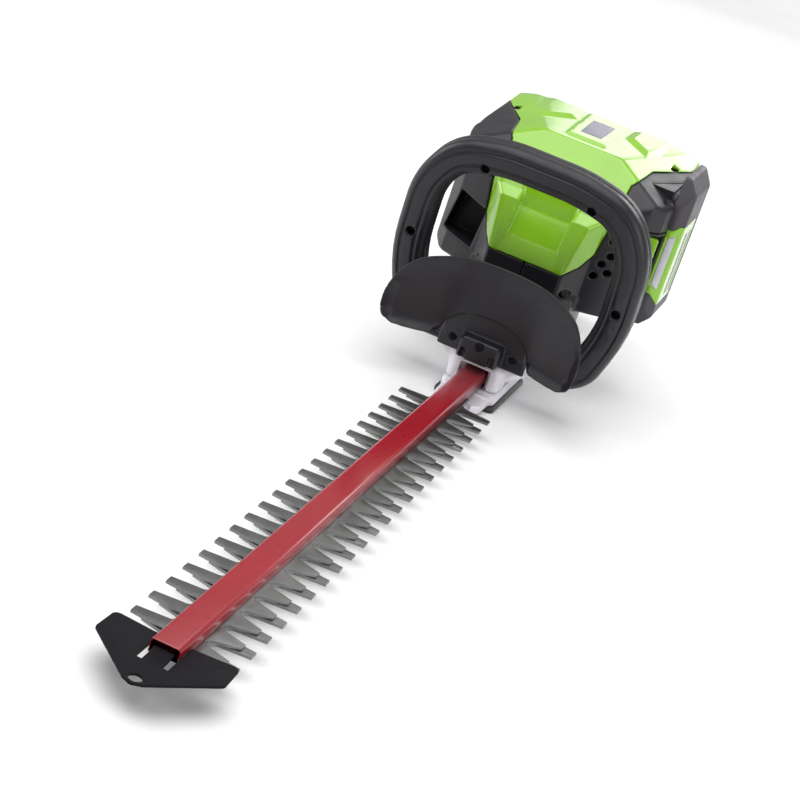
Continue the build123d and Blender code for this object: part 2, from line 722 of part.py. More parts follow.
def housing_half(side):
    """One half of the dark clamshell housing, split on the centre plane."""
    outward = (min(0, side * 140), max(0, side * 140))
    with BuildPart() as half:
        add(body_outer.part)
        add(tower_form(0.0))
        add(body_inner.part, mode=Mode.SUBTRACT)
        add(tower_form(WALL), mode=Mode.SUBTRACT)
        block((TOWER_X[0] + WALL, -14), (-36, 36), (96, 112), Mode.SUBTRACT)
        along_y([HOUSING_SCREWS[0]], (-56, 56), BOSS_R)
        along_y(HOUSING_SCREWS[1:], (-118, 108), BOSS_R)
        along_x(FRONT_SCREWS, (-44, -21), 5.5)
        add(cover_region.part, mode=Mode.SUBTRACT)
        block((-260, 60), outward, (0, SHOULDER_Z), Mode.INTERSECT)
        block((MOTOR_X - 31.2, MOTOR_X + 31.2), (-31.2, 31.2), (DECK_Z - 1, DECK_Z + 4), Mode.SUBTRACT)
        block(bay_x, (0, 140), bay_z, Mode.SUBTRACT)
        along_y(HOUSING_SCREWS, (-14, 12), 1.5, Mode.SUBTRACT)
        along_y(HOUSING_SCREWS, (-140, -14), 3.2, Mode.SUBTRACT)
        along_x(FRONT_SCREWS, (-42, 0), 1.5, Mode.SUBTRACT)
        along_x(FRONT_SCREWS, (-28, 0), 4.2, Mode.SUBTRACT)
        if side > 0:
            block((-100, -40), BUTTON_SLOT_Y, BUTTON_SLOT_Z, Mode.SUBTRACT)
            with BuildSketch(Plane.YZ):
                with Locations(*VENTS):
                    RegularPolygon(4.2, 6)
            extrude(amount=-70, mode=Mode.SUBTRACT)
    return half.part


with BuildPart() as housing_left:
    add(housing_half(1))
housing_left.part.label = "housing_left"
export_step(housing_left.part, "parts/housing_left.step")

with BuildPart() as housing_right:
    add(housing_half(-1))
housing_right.part.label = "housing_right"
export_step(housing_right.part, "parts/housing_right.step")

with BuildPart() as housing_screws:
    along_y(HOUSING_SCREWS, (-14, 12), 1.5)
    along_y(HOUSING_SCREWS, (-17, -14), 3)
    along_x(FRONT_SCREWS, (-42, -28), 1.5)
    along_x(FRONT_SCREWS, (-28, -25.5), 4)
housing_screws.part.label = "housing_screws"
export_step(housing_screws.part, "parts/housing_screws.step")

LABEL_X = (-190.0, -130.0)
cover_slope = (262 - 258) / (218 - 97)
label_z = 258 + (-97 - LABEL_X[1]) * cover_slope
with BuildPart() as label_plate:
    with BuildSketch(Plane.XZ):
        rise = (LABEL_X[1] - LABEL_X[0]) * cover_slope
        Polygon(
            (LABEL_X[1], label_z),
            (LABEL_X[0], label_z + rise),
            (LABEL_X[0], label_z + rise + 0.8),
            (LABEL_X[1], label_z + 0.8),
            align=None,
        )
    extrude(amount=12, both=True)
label_plate.part.label = "label_plate"
export_step(label_plate.part, "parts/label_plate.step")

# ---------------------------------------------------------------- battery bay and electronics
tray_inner_x = (BATTERY_X[0] - 0.6, BATTERY_X[1] + 0.6)
tray_inner_z = (BATTERY_Z[0] - 0.6, BATTERY_Z[1] + 0.6)
with BuildPart() as battery_tray:
    block(bay_x, (-10, 107.5), bay_z)
    block(tray_inner_x, (-8, 120), tray_inner_z, Mode.SUBTRACT)
battery_tray.part.label = "battery_tray"
export_step(battery_tray.part, "parts/battery_tray.step")

with BuildPart() as terminal_block:
    block((-165, -125), (-8, -5.6), (150, 200))
terminal_block.part.label = "terminal_block"
export_step(terminal_block.part, "parts/terminal_block.step")

with BuildPart() as controller_heatsink:
    block((-180, -104), (-50, -46), (130, 230))
    for i in range(9):
        block((-180 + 9 * i, -178 + 9 * i), (-46, -30), (130, 230))
controller_heatsink.part.label = "controller_heatsink"
export_step(controller_heatsink.part, "parts/controller_heatsink.step")

with BuildPart() as controller_board:
    block((-180, -104), (-53, -50), (130, 230))
    with Locations(*[(-170 + 14 * i, -60, 145) for i in range(5)]):
        Box(9, 14, 12)
    with Locations((-120, -59, 200), (-145, -59, 200)):
        Cylinder(8, 12, rotation=(90, 0, 0))
controller_board.part.label = "controller_board"
export_step(controller_board.part, "parts/controller_board.step")

# ---------------------------------------------------------------- battery pack
with BuildPart() as battery_case:
    block(BATTERY_X, BATTERY_Y, BATTERY_Z)
    fillet(battery_case.edges().filter_by(Axis.Y), 8)
    block(
        (BATTERY_X[0] + WALL, BATTERY_X[1] - WALL),
        (BATTERY_Y[0] + WALL, BATTERY_Y[1]),
        (BATTERY_Z[0] + WALL, BATTERY_Z[1] - WALL),
        Mode.SUBTRACT,
    )
battery_case.part.label = "battery_case"
export_step(battery_case.part, "parts/battery_case.step")

with BuildPart() as battery_end_cap:
    block(CAP_X, CAP_Y, CAP_Z)
    chamfer(battery_end_cap.edges().filter_by(Axis.X).group_by(Axis.Y)[-1], 12)
    chamfer(battery_end_cap.faces().sort_by(Axis.Y)[-1].edges().filter_by(Axis.Z), 8)
    block((-166, -124), (126, 140), (120, 210), Mode.SUBTRACT)
    block((-184, -106), (CAP_Y[0], 122), (110, 244), Mode.SUBTRACT)
battery_end_cap.part.label = "battery_end_cap"
export_step(battery_end_cap.part, "parts/battery_end_cap.step")

with BuildPart() as battery_frame:
    block((-165.7, -124.3), (126, 131), (120.3, 209.7))
    block((-160, -130), (129, 132), (130, 200), Mode.SUBTRACT)
battery_frame.part.label = "battery_frame"
export_step(battery_frame.part, "parts/battery_frame.step")

with BuildPart() as battery_label:
    block((-160, -145.3), (129, 130.2), (130, 200))
battery_label.part.label = "battery_label"
export_step(battery_label.part, "parts/battery_label.step")

with BuildPart() as battery_gauge:
    block((-144.7, -130), (129, 130.2), (130, 200))
    block((-142, -133), (128, 131), (182, 196), Mode.SUBTRACT)
battery_gauge.part.label = "battery_gauge"
export_step(battery_gauge.part, "parts/battery_gauge.step")

with BuildPart() as gauge_button:
    block((-141.7, -133.3), (129.6, 131.4), (182.3, 195.7))
    fillet(gauge_button.edges().filter_by(Axis.Y), 2)
gauge_button.part.label = "gauge_button"
export_step(gauge_button.part, "parts/gauge_button.step")

with BuildPart() as battery_cells:
    with Locations(*[(-173.5 + 19 * i, 38, 121 + 20.5 * j) for i in range(4) for j in range(6)]):
        Cylinder(CELL_R, CELL_LENGTH, rotation=(90, 0, 0))
battery_cells.part.label = "battery_cells"
export_step(battery_cells.part, "parts/battery_cells.step")

with BuildPart() as battery_board:
    block((-178, -112), (76, 78), (118, 232))
    with Locations(*[(-165, 81, 130 + 22 * i) for i in range(5)]):
        Box(12, 6, 9)
battery_board.part.label = "battery_board"
export_step(battery_board.part, "parts/battery_board.step")

# ---------------------------------------------------------------- battery release lever
LATCH_X = -86.0
LATCH_Y = 84.0
with BuildPart() as release_button:
    block((-74, -66.5), (94, 114), (145, 199))
    fillet(release_button.edges().filter_by(Axis.X), 3)
    block((-90, -74), (95, 101), (165, 187))
    block((-90, -82), (LATCH_Y, 101), (165, 187))
    post([(LATCH_X, LATCH_Y)], (165, 187), 5.5)
    post([(LATCH_X, LATCH_Y)], (165, 187), 2.55, Mode.SUBTRACT)
release_button.part.label = "release_button"
export_step(release_button.part, "parts/release_button.step")

with BuildPart() as battery_latch:
    block((-90, -82), (62, 78.5), (170, 182))
    block((-99.5, -90), (62, 68), (170, 182))
battery_latch.part.label = "battery_latch"
export_step(battery_latch.part, "parts/battery_latch.step")

# ---------------------------------------------------------------- rear handle, two halves
rear_outer = [
    (BODY_REAR_X, 226),
    (-250, 206),
    (-330, 176),
    (-356, 150),
    (-362, 60),
    (-356, 12),
    (-344, 0),
    (-316, 0),
    (-262, 62),
    (BODY_REAR_X, 108),
]
rear_gap = [(-222, 160), (-256, 158), (-306, 138), (-322, 118), (-324, 62), (-300, 50), (-268, 84), (-222, 120)]
REAR_HALF = 19.0
REAR_SCREWS = [(-212, 190), (-212, 112), (-338, 136), (-338, 22)]
TRIGGER_PIVOT = (-244.0, 166.0)
LEVER_PIVOT = (-234.0, 203.0)
PIN_R = 2.0
PIN_CLEARANCE = 0.05
trigger_slot = [(-301, 124), (-238, 144), (-238, 172), (-301, 152)]
lever_slot_x = (-265, -225)


def rear_half(side):
    """One half of the hollow D-shaped rear handle."""
    with BuildPart() as half:
        prism(outline(rear_outer, 5.0), Plane.XZ, -side * REAR_HALF)
        fillet(half.faces().sort_by(Axis.Y)[-1 if side > 0 else 0].edges().filter_by(GeomType.LINE), 5)
        prism(outline(rear_outer, 5.0, WALL), Plane.XZ, -side * (REAR_HALF - WALL), mode=Mode.SUBTRACT)
        prism(outline(rear_gap, 9.0, -WALL), Plane.XZ, -side * REAR_HALF)
        along_y(REAR_SCREWS, (min(0, side * 17), max(0, side * 17)), 5)
        prism(outline(rear_gap, 9.0), Plane.XZ, -side * REAR_HALF, mode=Mode.SUBTRACT)
        along_y(REAR_SCREWS, (-10, 10), 1.5, Mode.SUBTRACT)
        along_y(REAR_SCREWS, (-20, -10), 3.2, Mode.SUBTRACT)
        prism(outline(trigger_slot), Plane.XZ, 7.6, mode=Mode.SUBTRACT, both=True)
        block(lever_slot_x, (-7.4, 7.4), (192, 230), Mode.SUBTRACT)
    return half.part


with BuildPart() as rear_handle_left:
    add(rear_half(1))
rear_handle_left.part.label = "rear_handle_left"
export_step(rear_handle_left.part, "parts/rear_handle_left.step")

with BuildPart() as rear_handle_right:
    add(rear_half(-1))
rear_handle_right.part.label = "rear_handle_right"
export_step(rear_handle_right.part, "parts/rear_handle_right.step")

with BuildPart() as rear_handle_screws:
    along_y(REAR_SCREWS, (-10, 10), 1.5)
    along_y(REAR_SCREWS, (-13, -10), 3)
rear_handle_screws.part.label = "rear_handle_screws"
export_step(rear_handle_screws.part, "parts/rear_handle_screws.step")

GRIP_HALF = 13.0
with BuildPart() as rubber_grip:
    prism(outline(rear_outer, 5.0, -1.6), Plane.XZ, GRIP_HALF, both=True)
    prism(outline(rear_outer, 5.0), Plane.XZ, GRIP_HALF, both=True, mode=Mode.SUBTRACT)
    block((-370, -270), (-GRIP_HALF, GRIP_HALF), (70, 230), Mode.INTERSECT)
rubber_grip.part.label = "rubber_grip"
export_step(rubber_grip.part, "parts/rubber_grip.step")

trigger_outline = [(-290, 127), (-262, 137), (-248, 152), (-239, 159), (-239, 171), (-250, 174), (-288, 158)]
with BuildPart() as trigger:
    prism(outline(trigger_outline, 2.0), Plane.XZ, 7, both=True)
    along_y([TRIGGER_PIVOT], (-10, 10), PIN_R + PIN_CLEARANCE, Mode.SUBTRACT)
trigger.part.label = "trigger"
export_step(trigger.part, "parts/trigger.step")

lever_outline = [(-260, 200), (-261, 209), (-244, 217), (-231, 215), (-228, 204), (-231, 197), (-240, 196)]
with BuildPart() as lock_off_lever:
    prism(outline(lever_outline, 2.0), Plane.XZ, 6.8, both=True)
    along_y([LEVER_PIVOT], (-10, 10), PIN_R + PIN_CLEARANCE, Mode.SUBTRACT)
lock_off_lever.part.label = "lock_off_lever"
export_step(lock_off_lever.part, "parts/lock_off_lever.step")

with BuildPart() as pivot_pins:
    along_y([TRIGGER_PIVOT, LEVER_PIVOT], (-16, 16), PIN_R)
    post([(LATCH_X, LATCH_Y)], (158, 194), 2.5)
pivot_pins.part.label = "pivot_pins"
export_step(pivot_pins.part, "parts/pivot_pins.step")

with BuildPart() as power_switch:
    block((-288, -262), (-6, 6), (172.5, 185))
    block((-280, -276), (-2, 2), (171.3, 172.5))
power_switch.part.label = "power_switch"
export_step(power_switch.part, "parts/power_switch.step")


SPRING_Z = (174.0, 190.0)
SPRING_R = 3.4
SPRING_TURNS = 5

with BuildPart() as trigger_spring:
    with BuildLine(Plane(origin=(-255, 0, SPRING_Z[0]))) as coil:
        Helix((SPRING_Z[1] - SPRING_Z[0]) / SPRING_TURNS, SPRING_Z[1] - SPRING_Z[0], SPRING_R)
    with BuildSketch(Plane(origin=coil.line @ 0, z_dir=coil.line % 0)):
        Circle(0.6)
    sweep(path=coil.line, is_frenet=True)
trigger_spring.part.label = "trigger_spring"
export_step(trigger_spring.part, "parts/trigger_spring.step")
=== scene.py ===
import json
import math

import bmesh
import bpy
import numpy as np
from mathutils import Matrix, Vector


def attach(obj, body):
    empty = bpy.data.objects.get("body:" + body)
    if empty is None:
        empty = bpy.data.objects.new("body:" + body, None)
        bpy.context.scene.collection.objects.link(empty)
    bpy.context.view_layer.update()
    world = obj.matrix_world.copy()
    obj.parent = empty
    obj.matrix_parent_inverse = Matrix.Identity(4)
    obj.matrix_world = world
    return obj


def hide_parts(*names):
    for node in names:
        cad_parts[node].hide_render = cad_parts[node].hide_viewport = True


# Lengths are in millimetres where a name or a comment doesn't say otherwise, and become metres through MM.
MM = 0.001

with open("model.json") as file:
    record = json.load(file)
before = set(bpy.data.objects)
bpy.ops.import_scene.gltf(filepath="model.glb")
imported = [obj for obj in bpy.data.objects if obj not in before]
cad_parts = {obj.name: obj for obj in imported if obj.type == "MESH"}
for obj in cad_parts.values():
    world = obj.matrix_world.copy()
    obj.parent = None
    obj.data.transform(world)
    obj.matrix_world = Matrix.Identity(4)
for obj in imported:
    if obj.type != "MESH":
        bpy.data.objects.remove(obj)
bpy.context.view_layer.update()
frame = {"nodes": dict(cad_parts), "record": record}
nodes = frame["nodes"]

materials = {}


# ---------------------------------------------------------------- materials
def new_material(name, colour, metallic=0.0, roughness=0.5):
    """An empty Principled material, its object coordinates and its shader."""
    material = bpy.data.materials.new(name)
    material.use_nodes = True
    tree = material.node_tree
    shader = tree.nodes["Principled BSDF"]
    shader.inputs["Base Color"].default_value = (*colour, 1)
    shader.inputs["Metallic"].default_value = metallic
    shader.inputs["Roughness"].default_value = roughness
    coordinates = tree.nodes.new("ShaderNodeTexCoord")
    materials[name] = material
    return material, tree, shader, coordinates.outputs["Object"]


def noise(tree, vector, scale, detail=3.0, stretch=(1, 1, 1)):
    """A noise texture in the object's own metres, scale in features per metre."""
    mapping = tree.nodes.new("ShaderNodeMapping")
    mapping.inputs["Scale"].default_value = stretch
    texture = tree.nodes.new("ShaderNodeTexNoise")
    texture.inputs["Scale"].default_value = scale
    texture.inputs["Detail"].default_value = detail
    tree.links.new(vector, mapping.inputs["Vector"])
    tree.links.new(mapping.outputs["Vector"], texture.inputs["Vector"])
    return texture.outputs["Fac"]


def spread(tree, value, low, high, start=0.3, end=0.7):
    """The value mapped from start..end to low..high."""
    ranged = tree.nodes.new("ShaderNodeMapRange")
    ranged.inputs["From Min"].default_value = start
    ranged.inputs["From Max"].default_value = end
    ranged.inputs["To Min"].default_value = low
    ranged.inputs["To Max"].default_value = high
    tree.links.new(value, ranged.inputs["Value"])
    return ranged.outputs["Result"]


def tint(tree, factor, first, second):
    """A colour mixed between two by a factor."""
    mix = tree.nodes.new("ShaderNodeMix")
    mix.data_type = "RGBA"
    mix.inputs["A"].default_value = (*first, 1)
    mix.inputs["B"].default_value = (*second, 1)
    tree.links.new(factor, mix.inputs["Factor"])
    return mix.outputs["Result"]


def bump(tree, shader, height, distance, strength=1.0):
    """Raise the surface by the height times a distance in metres."""
    node = tree.nodes.new("ShaderNodeBump")
    node.inputs["Distance"].default_value = distance
    node.inputs["Strength"].default_value = strength
    tree.links.new(height, node.inputs["Height"])
    tree.links.new(node.outputs["Normal"], shader.inputs["Normal"])


def moulded(name, colour, roughness, grain=2600, depth=0.00002, shade=0.12, coat=0.0):
    """Injection-moulded plastic: a fine spark-eroded grain, faint handling marks and flow shading."""
    material, tree, shader, place = new_material(name, colour)
    darker = tuple(c * (1 - shade) for c in colour)
    lighter = tuple(min(1, c * (1 + shade)) for c in colour)
    flow = spread(tree, noise(tree, place, 18), 0, 1)
    tree.links.new(tint(tree, flow, darker, lighter), shader.inputs["Base Color"])
    marks = spread(tree, noise(tree, place, 60, 6), roughness - 0.05, roughness + 0.06)
    tree.links.new(marks, shader.inputs["Roughness"])
    bump(tree, shader, noise(tree, place, grain, 2), depth)
    shader.inputs["Coat Weight"].default_value = coat
    shader.inputs["Coat Roughness"].default_value = 0.12
    return material


def painted(name, colour, roughness, coat=0.5, peel=160):
    """Sprayed and baked paint with a slight orange peel and dust specks."""
    material, tree, shader, place = new_material(name, colour)
    tone = spread(tree, noise(tree, place, 9), 0, 1)
    tree.links.new(tint(tree, tone, tuple(c * 0.86 for c in colour), colour), shader.inputs["Base Color"])
    dust = spread(tree, noise(tree, place, 90, 3), roughness - 0.03, roughness + 0.04)
    tree.links.new(dust, shader.inputs["Roughness"])
    bump(tree, shader, noise(tree, place, peel, 2), 0.000015)
    shader.inputs["Coat Weight"].default_value = coat
    shader.inputs["Coat Roughness"].default_value = 0.15
    return material


def steel(name, colour, roughness, lines=(1, 1, 1), line_scale=900, depth=0.00001):
    """Bare or plated steel, its grinding lines stretched along one direction and its tone uneven."""
    material, tree, shader, place = new_material(name, colour, metallic=1.0)
    stain = spread(tree, noise(tree, place, 35, 6), 0, 1)
    tree.links.new(
        tint(tree, stain, tuple(c * 0.72 for c in colour), tuple(min(1, c * 1.12) for c in colour)),
        shader.inputs["Base Color"],
    )
    ground = noise(tree, place, line_scale, 4, lines)
    tree.links.new(spread(tree, ground, roughness - 0.08, roughness + 0.14), shader.inputs["Roughness"])
    bump(tree, shader, ground, depth)
    return material


def cast(name, colour, roughness, metallic):
    """A die casting with a fine cast skin and cloudy tone."""
    material, tree, shader, place = new_material(name, colour, metallic=metallic)
    cloud = spread(tree, noise(tree, place, 28, 5), 0, 1)
    tree.links.new(
        tint(tree, cloud, tuple(c * 0.84 for c in colour), tuple(min(1, c * 1.06) for c in colour)),
        shader.inputs["Base Color"],
    )
    skin = noise(tree, place, 1400, 4)
    tree.links.new(spread(tree, skin, roughness - 0.06, roughness + 0.1), shader.inputs["Roughness"])
    bump(tree, shader, skin, 0.00004)
    return material


RECORD_COLOURS = {m["slot"]: tuple(m["base_color"][:3]) for m in frame["record"]["materials"]}
BLACK = tuple(0.62 * c for c in RECORD_COLOURS["black_plastic"])
GREEN = tuple(0.88 * c for c in RECORD_COLOURS["green_plastic"])

moulded("black_plastic", BLACK, 0.36)
moulded("battery_plastic", RECORD_COLOURS["battery_plastic"], 0.46)
moulded("green_plastic", GREEN, 0.22, grain=900, depth=0.000006, shade=0.05, coat=0.6)
moulded("label_grey", RECORD_COLOURS["label_grey"], 0.35, grain=1500, depth=0.00001)
moulded("label_dark", RECORD_COLOURS["label_dark"], 0.3, grain=1500, depth=0.00001)
moulded("rubber", RECORD_COLOURS["rubber"], 0.7, grain=1300, depth=0.00006)
moulded("cell_wrap", RECORD_COLOURS["cell_wrap"], 0.3, grain=300, depth=0.00004)
moulded("circuit_board", RECORD_COLOURS["circuit_board"], 0.35, grain=700, depth=0.00003)
painted("red_paint", (0.36, 0.003, 0.014), 0.3)
painted("black_steel", (0.009, 0.008, 0.011), 0.6, coat=0.0, peel=700)
painted("base_black", RECORD_COLOURS["base_black"], 0.45, coat=0.2)
painted("copper", RECORD_COLOURS["copper"], 0.3)
steel("blade_steel", tuple(0.75 * c for c in RECORD_COLOURS["blade_steel"]), 0.36, lines=(0.12, 1, 1))
steel("zinc_steel", RECORD_COLOURS["zinc_steel"], 0.32)
cast("cast_aluminium", (0.86, 0.84, 0.9), 0.42, 0.1)
SPECULAR = {"black_plastic": 0.4, "battery_plastic": 0.4, "black_steel": 0.1, "base_black": 0.3}
for name, level in SPECULAR.items():
    materials[name].node_tree.nodes["Principled BSDF"].inputs["Specular IOR Level"].default_value = level

slot_of = {part["node"]: part["material_slot"] for part in frame["record"]["subparts"]}
for name, node in nodes.items():
    node.data.materials.clear()
    node.data.materials.append(materials[slot_of[name]])


# ---------------------------------------------------------------- solids as signed distances, in millimetres
def space(low, high, step):
    """Sample places in a box with a margin round it, as three arrays that broadcast together."""
    margin = 2 * step
    return np.ix_(*[np.arange(a - margin, b + margin, step, dtype=np.float32) for a, b in zip(low, high)])


def polygon(u, v, outline):
    """Distance in the plane of u and v to a closed outline, negative inside it."""
    u, v = np.broadcast_arrays(u, v)
    nearest = np.full(u.shape, 1e9, np.float32)
    inside = np.zeros(u.shape, bool)
    for (u0, v0), (u1, v1) in zip(outline, outline[1:] + outline[:1]):
        du, dv = u1 - u0, v1 - v0
        along = np.clip(((u - u0) * du + (v - v0) * dv) / (du * du + dv * dv), 0, 1)
        nearest = np.minimum(nearest, (u - u0 - along * du) ** 2 + (v - v0 - along * dv) ** 2)
        if dv:
            inside ^= ((v0 <= v) != (v1 <= v)) & (u < u0 + (v - v0) * du / dv)
    return (np.where(inside, -1, 1) * np.sqrt(nearest)).astype(np.float32)


def near_line(u, v, points):
    """Distance to an open line of points, negative on its right-hand side, in the plane of u and v."""
    u, v = np.broadcast_arrays(u, v)
    nearest = np.full(u.shape, 1e9, np.float32)
    sign = np.ones(u.shape, np.float32)
    for (u0, v0), (u1, v1) in zip(points, points[1:]):
        du, dv = u1 - u0, v1 - v0
        along = np.clip(((u - u0) * du + (v - v0) * dv) / (du * du + dv * dv), 0, 1)
        distance = (u - u0 - along * du) ** 2 + (v - v0 - along * dv) ** 2
        closer = distance < nearest
        sign = np.where(closer, np.sign((v - v0) * du - (u - u0) * dv), sign)
        nearest = np.minimum(nearest, distance)
    return sign * np.sqrt(nearest)


def common(a, b, r=0.0):
    """Where both solids are, the edge between them rounded by about r."""
    joined = np.maximum(a, b)
    if r:
        joined = joined + np.square(np.maximum(r - np.abs(a - b), 0)) / (4 * r)
    return joined


def union(a, b, r=0.0):
    """Where either solid is, the inner corner between them filled by about r."""
    return -common(-a, -b, r)


def cut(a, b, r=0.0):
    """The first solid without the second, the edge between them rounded by about r."""
    return common(a, -b, r)


def slab(value, low, high):
    """Distance to the layer where a value lies between low and high."""
    return np.maximum(low - value, value - high)


def box(x, y, z, low, high, r=0.0):
    """A box between two corners, its edges rounded by about r."""
    sides = [slab(value, a, b) for value, a, b in zip((x, y, z), low, high)]
    return common(common(sides[0], sides[1], r), sides[2], r)


def rod(u, v, w, centre, radius, low, high, r=0.0):
    """A cylinder along w between low and high, round a centre in the plane of u and v."""
    return common(np.hypot(u - centre[0], v - centre[1]) - radius, slab(w, low, high), r)


def half_space(x, y, z, point, normal):
    """Distance past a plane, positive on the side that the normal points to."""
    n = Vector(normal).normalized()
    return (x - point[0]) * n[0] + (y - point[1]) * n[1] + (z - point[2]) * n[2]


def shell(solid, wall):
    """The outer layer of a solid, of a given wall thickness."""
    return np.maximum(solid, -(solid + wall))


def smooth_loop(points, per_side=6):
    """A closed Catmull-Rom curve through the points."""
    p = [np.array(q, float) for q in points]
    n = len(p)
    curve = []
    for i in range(n):
        a, b, c, d = p[i - 1], p[i], p[(i + 1) % n], p[(i + 2) % n]
        for t in np.arange(per_side) / per_side:
            bend, twist = 2 * a - 5 * b + 4 * c - d, 3 * b - a - 3 * c + d
            q = 0.5 * (2 * b + (c - a) * t + bend * t**2 + twist * t**3)
            curve.append((float(q[0]), float(q[1])))
    return curve


def filleted(points, radii):
    """An open line whose inner corners are replaced by arcs, sampled every few degrees."""
    line = [points[0]]
    for before, corner, after, radius in zip(points, points[1:], points[2:], radii):
        a, c, b = Vector(before), Vector(corner), Vector(after)
        into, out = (c - a).normalized(), (b - c).normalized()
        turn = into.angle_signed(out)
        reach = radius * math.tan(abs(turn) / 2)
        start = c - into * reach
        side = Vector((into.y, -into.x)) * (1 if turn > 0 else -1)
        centre = start + side * radius
        steps = max(4, int(abs(math.degrees(turn)) / 4))
        for i in range(steps + 1):
            arm = start - centre
            arm.rotate(Matrix.Rotation(-turn * i / steps, 2))
            line.append(tuple(centre + arm))
    line.append(points[-1])
    return line


CORNERS = [(i, j, k) for i in (0, 1) for j in (0, 1) for k in (0, 1)]
CELL_EDGES = [
    (a, b) for a in CORNERS for b in CORNERS if a < b and sum(abs(p - q) for p, q in zip(a, b)) == 1
]


def surface(field, places):
    """A closed quad mesh where the field is zero: one vertex in each cell that the surface crosses."""
    inside = field < 0
    cells = tuple(n - 1 for n in field.shape)
    count = np.zeros(cells, np.int8)
    for i, j, k in CORNERS:
        count += inside[i : i + cells[0], j : j + cells[1], k : k + cells[2]]
    crossed = np.argwhere((count > 0) & (count < 8))
    number = np.full(cells, -1, np.int32)
    number[tuple(crossed.T)] = np.arange(len(crossed))
    total = np.zeros((len(crossed), 3))
    hits = np.zeros(len(crossed))
    for a, b in CELL_EDGES:
        fa = field[tuple((crossed + a).T)]
        fb = field[tuple((crossed + b).T)]
        hit = (fa < 0) != (fb < 0)
        share = np.where(hit, fa / np.where(hit, fa - fb, 1), 0)
        place = np.array(a) + share[:, None] * (np.array(b) - np.array(a))
        total += place * hit[:, None]
        hits += hit
    points = crossed + total / hits[:, None]
    vertices = np.stack(
        [np.interp(points[:, i], np.arange(field.shape[i]), places[i].ravel()) for i in range(3)], axis=1
    )
    quads = []
    for axis in range(3):
        step, left, down = np.roll(np.eye(3, dtype=int), -axis, axis=0)
        here = inside[tuple(slice(0, n - s) for n, s in zip(field.shape, step))]
        there = inside[tuple(slice(s, None) for s in step)]
        for flip, change in ((False, here & ~there), (True, there & ~here)):
            at = np.argwhere(change)
            ring = [at - left - down, at - down, at, at - left]
            faces = np.stack([number[tuple(corner.T)] for corner in ring], axis=1)
            quads.append(faces[:, ::-1] if flip else faces)
    return vertices, np.concatenate(quads)


# ---------------------------------------------------------------- pieces
def add_piece(obj, body, slot, *replaced):
    """Give a finished mesh its material, its body and the CAD nodes that it stands for."""
    obj.data.materials.clear()
    obj.data.materials.append(materials[slot])
    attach(obj, body)
    if replaced:
        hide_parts(*replaced)
    return obj


def baked(obj):
    """Replace an object's mesh by what its modifiers make of it."""
    graph = bpy.context.evaluated_depsgraph_get()
    mesh = bpy.data.meshes.new_from_object(obj.evaluated_get(graph))
    obj.modifiers.clear()
    obj.data = mesh
    return obj


def moulding(name, field, places, body, slot, *replaced, keep=0.4, back=None):
    """A piece from a distance field, thinned where it is flat; back maps its places to the row frame."""
    vertices, quads = surface(field, places)
    if back:
        vertices = back(vertices)
    mesh = bpy.data.meshes.new(name)
    mesh.from_pydata((vertices * MM).tolist(), [], quads.tolist())
    obj = bpy.data.objects.new(name, mesh)
    bpy.context.scene.collection.objects.link(obj)
    thin = obj.modifiers.new("thin", "DECIMATE")
    thin.ratio = keep
    baked(obj)
    obj.data.shade_smooth()
    return add_piece(obj, body, slot, *replaced)


def welded(node):
    """A copy of a CAD node's mesh with its faces joined and its flat triangles merged."""
    mesh = bpy.data.meshes.new(node)
    cad = bmesh.new()
    cad.from_mesh(nodes[node].data)
    bmesh.ops.remove_doubles(cad, verts=cad.verts, dist=1e-6)
    bmesh.ops.dissolve_limit(
        cad, angle_limit=math.radians(0.5), verts=cad.verts, edges=cad.edges, delimit={"NORMAL"}
    )
    cad.to_mesh(mesh)
    cad.free()
    return mesh


def chamfered(node, width, body):
    """A CAD node's shape with its sharp edges broken by a small bevel."""
    obj = bpy.data.objects.new(node + "_part", welded(node))
    bpy.context.scene.collection.objects.link(obj)
    edge = obj.modifiers.new("edge", "BEVEL")
    edge.width = width * MM
    edge.segments = 2
    edge.use_clamp_overlap = True
    edge.limit_method = "ANGLE"
    edge.angle_limit = math.radians(35)
    baked(obj)
    obj.data.shade_smooth()
    obj.data.set_sharp_from_angle(angle=math.radians(40))
    return add_piece(obj, body, slot_of[node], node)


# ---------------------------------------------------------------- upper body: cover, shoulders and housing
SPLIT = 0.2
WALL = 3.0
TOP_SLOPE = 4 / 121
CREASE = (-97, 258)
SIDE = [(-8, 102), (-8, 142), (-13, 166), (-22, 197), (-36, 204), (-42, 214), CREASE, (-110, 275)]
SIDE += [(-214, 275), (-229, 252), (-226, 234), (-200, 228), (-200, 102)]
PLAN = [(-8, -40), (-42, -62), (-58, -98), (-82, -119), (-232, -119)]
PLAN += [(-232, 111.7), (-95, 111.7), (-95, 119), (-82, 119), (-58, 98), (-42, 62), (-8, 40)]
FRONT = [(-104, 102), (-119, 117), (-119, 228), (-106, 256), (-76, 266)]
FRONT += [(-y, z) for y, z in FRONT[::-1]]
BARREL = [(-8, 40), (-38, 59), (-49, 80), (-60, 99), (-77, 112), (-104, 118), (-150, 119), (-232, 119)]
TOWER = [(-8, -40), (-30, -58), (-100, -58), (-100, 58), (-30, 58), (-8, 40)]
COVER_EDGE = [(0, 142), (40, 142), (52, 152), (61, 168), (66, 200), (67, 240), (76, 250), (130, 251)]
SHOULDER_Z = 204
RECESS = [(-5, 138), (-9, 149), (-17, 162), (-36, 190), (-41, 210), (-20, 235), (30, 235), (30, 138)]
CENTRE_PANEL = [(-111, -23), (-235, -25), (-235, 25), (-111, 23)]
SIDE_PANEL = [(-179, 27.5), (-235, 29), (-235, 74), (-216, 76), (-126, 70)]
LABEL = [(-130, -12), (-192, -13), (-192, 13), (-130, 12)]
DIAGONAL = ((-97, 43, 258), (0.164, 0.328, 0.93))
